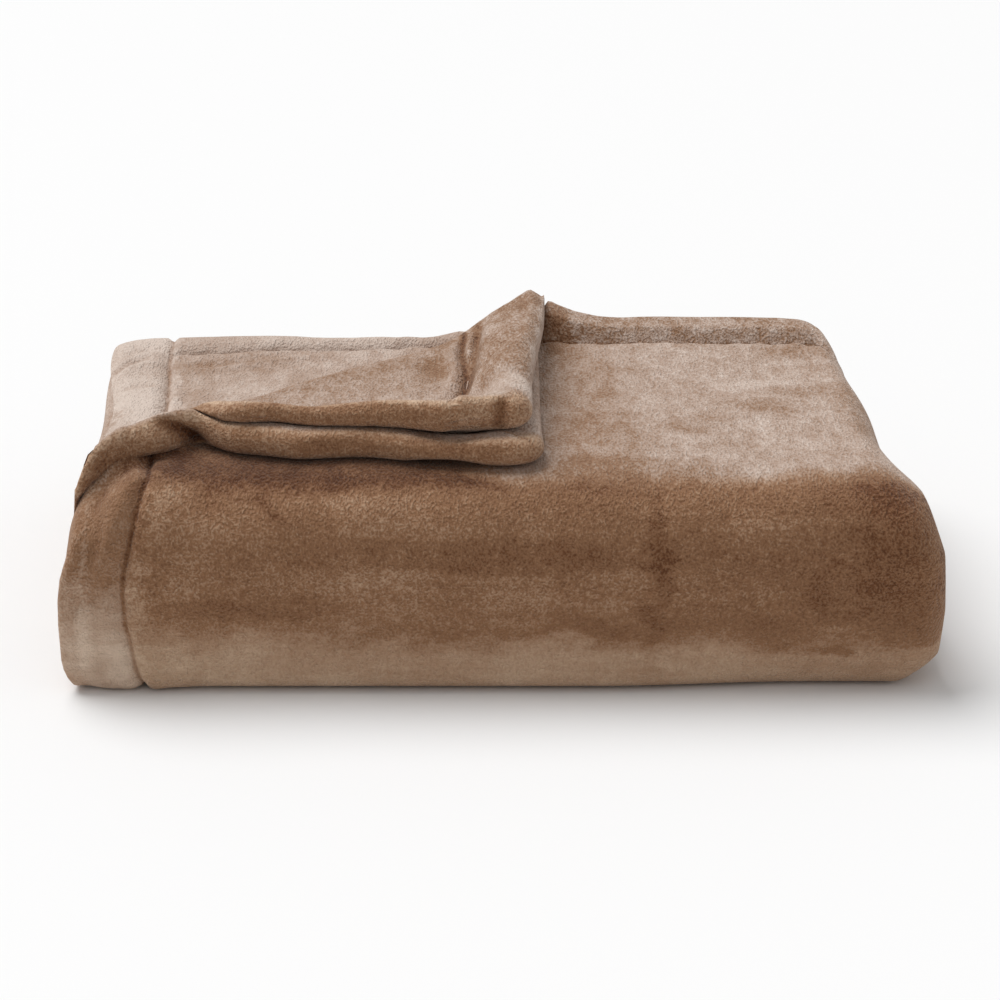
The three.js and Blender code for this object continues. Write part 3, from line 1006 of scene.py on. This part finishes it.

# The plush: nap on the top, and how much lower on the front, partly pile, partly painted shade; 0 dark, 1
# pale
TOP_NAP = 0.69
FRONT_NAP_AND_SHADE = -0.355
SEAM_NAP = -0.28
CREASE_SHADE = -70.0  # painted shade: how much darker for each metre of depth in a crease
RIM_HIGHLIGHT = 0.17  # painted highlight on the lit side of the rolls
RAGGED = (0.060, 0.020, 0.0)  # how far the borders of the patches wander, across and along the cloth
PILE_STRETCH = (1.0, 0.45, 1.0)
SMEAR_STRETCH = (0.16, 0.42, 1.0)
FACING_SHADE_TINT = (1, 0.87, 0.70)  # painted shade: tint of the front and the rolls, warmer than the top that the light pales
SHADE_TINT = (0.42, 0.28, 0.14)  # painted shade where the nap is lowest, mostly under the rolls and in deep creases
MIDDLE_STOPS = (0.35, 0.7)  # where the ramp has its two middle colours
LUMP_RISE = 0.00045
TUFT_RISE = 0.0005


def nap_regions(graph, cloth, along, distance):
    """Masks of parts whose pile stands or lies unlike the top's, and of the painted highlight, by places in
    metres.
    """
    across = graph.add("SeparateXYZ", {0: cloth}).outputs[0]
    before_end = graph.span(along, 0.95, 0.9)
    r = SimpleNamespace()
    r.front = graph.times(graph.span(along, 0.304, 0.322), before_end)
    r.low_band = graph.times(graph.span(along, 0.360, 0.400), graph.span(along, 0.50, 0.46))
    r.third = graph.span(along, 1.2, 1.6)
    r.from_edge = graph.math("PINGPONG", graph.math("ABSOLUTE", across), 1.15)
    r.rolls = graph.times(graph.span(r.from_edge, 0.026, 0.016), before_end)
    # Painted highlight: a band along the lit side of each roll.
    r.rims = graph.times(r.rolls, graph.span(r.from_edge, 0.009, 0.016))
    r.upright = graph.math("MAXIMUM", r.rolls, r.front)
    r.hem = graph.span(distance, 0.002, -0.002)
    r.front_hem = graph.times(r.hem, r.front)
    return r


def patched_nap(graph, ragged, front):
    """Nap of the top and the front, partly painted shade, with patches of other nap and painted shadow."""
    nap = graph.plus(TOP_NAP, (front, FRONT_NAP_AND_SHADE))
    for name, square, patches in (("nap_and_shadow_patch", False, NAP_AND_SHADOW_OVALS), ("nap_and_shadow_block", True, NAP_AND_SHADOW_BLOCKS)):
        group = patch_group(name, square)
        for centre_u, centre_v, half_u, half_v, softness, amount in patches:
            mask = graph.effect(
                group, vector=ragged, centre=(centre_u * MM, centre_v * MM, 0),
                radius=(half_u * MM, half_v * MM, 1), inner=1 - softness, outer=1 + softness,
            )
            nap = graph.plus(nap, (mask, amount))
    return nap


def crushed_nap(graph, nap, place, pile, tufts, r):
    """The nap with its blotches, smears, streaks and tufts, by the masks of nap_regions."""
    crushed = graph.plus(
        0.08, (r.hem, graph.span(r.third, 0, 1, 0.03, -0.05)), (r.upright, -0.055), (r.front_hem, -0.03)
    )
    broad = graph.plus(graph.span(r.third, 0, 1, 0.05, 0.09), (r.upright, 0.02))
    smeared = graph.plus(0.025, (r.upright, 0.04))
    streaked = graph.plus(0.02, (r.upright, 0.02))
    fine = graph.plus(
        graph.span(r.third, 0, 1, 0.18, 0.12),
        (r.rolls, 0.05),
        (r.front, 0.04),
        (r.low_band, -0.15),
        (r.hem, graph.span(r.third, 0, 1, 0.08, 0.0)),
        (r.front_hem, -0.18),
    )
    drawn_out = graph.vector("MULTIPLY", place, SMEAR_STRETCH)
    mottle = mottle_group()
    for vector, scale, sharpness, amount in (
        (pile, 75.0, 1.5, crushed),
        (pile, 22.0, 0.8, broad),
        (drawn_out, 45.0, 0.7, smeared),
        (drawn_out, 150.0, 0.9, streaked),
    ):
        texture = graph.effect(mottle, vector=vector, scale=scale, sharpness=sharpness)
        nap = graph.plus(nap, (texture, amount))
    return graph.plus(nap, (tufts, fine))


def nap_colour(graph, nap, r, colours):
    """Dark to pale by the nap. Painted shade tints the front and the rolls warmer and the lowest nap darker.
    """
    ramp = graph.add("ValToRGB", {0: nap})
    stops = ramp.color_ramp.elements
    for stop_place in MIDDLE_STOPS:
        stops.new(stop_place)
    for stop, colour in zip(stops, (colours.dark, colours.middle, colours.light, colours.pale)):
        stop.color = (*colour, 1)
    facing_shade = graph.times(r.upright, graph.span(nap, 0.15, 0.6, 0.35, 1.0))
    facing_shade = graph.times(facing_shade, graph.plus(1.0, (r.front_hem, -0.35)))
    facing_shaded = graph.tint(facing_shade, ramp.outputs[0], FACING_SHADE_TINT)
    return graph.tint(graph.span(nap, 0.08, -0.30, step="LINEAR"), facing_shaded, SHADE_TINT)


def pile_relief(graph, pile, tufts, seam):
    """Lumps of pile, the groove of the seams and the tufts, as a normal."""
    lumps = graph.plus(graph.noise(pile, 240.0, 1.0).outputs[0], (seam, -0.8))
    relief = graph.add("Bump", {"Height": lumps, "Strength": 1.0, "Distance": LUMP_RISE})
    inputs = {"Height": tufts, "Strength": 1.0, "Distance": TUFT_RISE, "Normal": relief.outputs[0]}
    return graph.add("Bump", inputs).outputs[0]


def plush_material(colours):
    """Plush with a directional nap, painted shade in its creases and folds, and a painted highlight on the
    rolls.

    The cloth attribute gives each place on the flat cloth, seam how far it is from a seam line and crease
    how deep in a crease it lies, all in metres.
    """
    material = bpy.data.materials.new("mocha_plush")
    material.use_nodes = True
    graph = Graph(material.node_tree)
    cloth = graph.add("Attribute", attribute_name="cloth").outputs["Vector"]
    distance = graph.add("Attribute", attribute_name="seam").outputs["Fac"]
    deep = graph.add("Attribute", attribute_name="crease").outputs["Fac"]
    place = graph.add("TexCoord").outputs["Object"]
    pile = graph.vector("MULTIPLY", place, PILE_STRETCH)
    tufts = graph.effect(grain_group(), vector=pile)
    seam = graph.effect(seam_group(), distance=distance)

    # The borders of the patches are ragged, more so across than along.
    ragged_by = graph.noise(graph.vector("MULTIPLY", place, (0.4, 0.45, 1.0)), 60.0, 4.0, 0.65)
    wander = graph.vector("SUBTRACT", ragged_by.outputs["Color"], (0.5, 0.5, 0.5))
    flat = graph.vector("MULTIPLY", cloth, (1.0, 1.0, 0.0))
    ragged = graph.vector("ADD", flat, graph.vector("MULTIPLY", wander, RAGGED))
    along = graph.add("SeparateXYZ", {0: ragged}).outputs[1]

    regions = nap_regions(graph, cloth, along, distance)
    nap = patched_nap(graph, ragged, regions.front)
    nap = crushed_nap(graph, nap, place, pile, tufts, regions)
    # Painted shade in the creases and a painted highlight on the lit rims of the rolls.
    nap = graph.plus(nap, (seam, SEAM_NAP), (deep, CREASE_SHADE), (regions.rims, RIM_HIGHLIGHT))

    shader = material.node_tree.nodes["Principled BSDF"]
    graph.feed(shader.inputs["Base Color"], nap_colour(graph, nap, regions, colours))
    graph.feed(shader.inputs["Normal"], pile_relief(graph, pile, tufts, seam))
    for name, value in (
        ("Roughness", 0.9),
        ("Specular IOR Level", 0.2),
        ("Sheen Weight", 0.22),
        ("Sheen Roughness", 0.5),
        ("Sheen Tint", (1, 0.86, 0.74, 1)),
    ):
        shader.inputs[name].default_value = value
    return material


# Operators


class BLANKET_OT_cloth(bpy.types.Operator):
    """Build the folded blanket as one sheet of cloth"""

    bl_idname = "blanket.cloth"
    bl_label = "Folded cloth"

    def execute(self, context):
        sizes = context.scene.blanket_sizes
        s = stack_sizes(sizes)
        mesh = blanket_mesh(s)
        mesh.materials.append(plush_material(context.scene.blanket_colours))
        blanket = bpy.data.objects.new(PIECE, mesh)
        context.scene.collection.objects.link(blanket)
        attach(blanket, BODY)
        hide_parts(NODE)
        return {"FINISHED"}


class BLANKET_OT_studio(bpy.types.Operator):
    """Build the pale floor, the soft lights and the camera"""

    bl_idname = "blanket.studio"
    bl_label = "Studio"

    def execute(self, context):
        studio = context.scene.blanket_studio
        make_floor()
        make_lights(studio)
        make_camera(studio)
        return {"FINISHED"}


FLOOR_HALF = 6


def make_floor():
    bm = bmesh.new()
    bmesh.ops.create_grid(bm, x_segments=2, y_segments=2, size=FLOOR_HALF)
    mesh = mesh_from(bm, "floor")
    material = bpy.data.materials.new("pale_floor")
    material.use_nodes = True
    shader = material.node_tree.nodes["Principled BSDF"]
    shader.inputs["Base Color"].default_value = (0.9, 0.9, 0.9, 1)
    shader.inputs["Roughness"].default_value = 0.8
    mesh.materials.append(material)
    floor = bpy.data.objects.new("floor", mesh)
    bpy.context.scene.collection.objects.link(floor)


LIGHT_FROM = (-0.48, 0.42, 1.0)  # direction to the middle of the soft light


def make_lights(studio):
    scene = bpy.context.scene
    scene.view_settings.view_transform = "Standard"
    world = bpy.data.worlds.new("studio")
    world.use_nodes = True
    background = world.node_tree.nodes["Background"]
    background.inputs["Color"].default_value = (1, 1, 1, 1)
    background.inputs["Strength"].default_value = studio.surround
    scene.world = world
    light = bpy.data.lights.new("key", "SUN")
    light.energy = studio.key
    light.angle = studio.spread
    lamp = bpy.data.objects.new("key", light)
    lamp.rotation_euler = (-Vector(LIGHT_FROM)).to_track_quat("-Z", "Y").to_euler()
    lamp.location = LIGHT_FROM
    scene.collection.objects.link(lamp)


CAMERA_LEFT = 0.0016
CAMERA_RAISE = 0.0583  # how far above the middle of the base the camera aims


def make_camera(studio):
    camera = bpy.data.cameras.new("camera")
    camera.lens = studio.lens
    camera.sensor_width = 36
    eye = bpy.data.objects.new("camera", camera)
    tilt = studio.elevation
    up = Vector((0, math.sin(tilt), math.cos(tilt)))
    forward = Vector((0, math.cos(tilt), -math.sin(tilt)))
    eye.location = up * CAMERA_RAISE - forward * studio.distance - Vector((CAMERA_LEFT, 0, 0))
    eye.rotation_euler = (math.pi / 2 - tilt, 0, 0)
    bpy.context.scene.collection.objects.link(eye)
    bpy.context.scene.camera = eye


class BLANKET_PT_panel(bpy.types.Panel):
    """Lists the blanket's operators"""

    bl_label = "Folded blanket"
    bl_idname = "BLANKET_PT_panel"
    bl_space_type = "VIEW_3D"
    bl_region_type = "UI"
    bl_category = "Blanket"

    def draw(self, context):
        for operator in (BLANKET_OT_cloth, BLANKET_OT_studio):
            self.layout.operator(operator.bl_idname)


CLASSES = (
    BlanketSizes, BlanketColours, StudioSettings, BLANKET_OT_cloth, BLANKET_OT_studio, BLANKET_PT_panel,
)


def register():
    for cls in CLASSES:
        bpy.utils.register_class(cls)
    bpy.types.Scene.blanket_sizes = PointerProperty(type=BlanketSizes)
    bpy.types.Scene.blanket_colours = PointerProperty(type=BlanketColours)
    bpy.types.Scene.blanket_studio = PointerProperty(type=StudioSettings)


def unregister():
    del bpy.types.Scene.blanket_studio
    del bpy.types.Scene.blanket_colours
    del bpy.types.Scene.blanket_sizes
    for cls in reversed(CLASSES):
        bpy.utils.unregister_class(cls)


def main():
    register()
    bpy.ops.blanket.studio()
    bpy.ops.blanket.cloth()


if __name__ == "__main__":
    main()
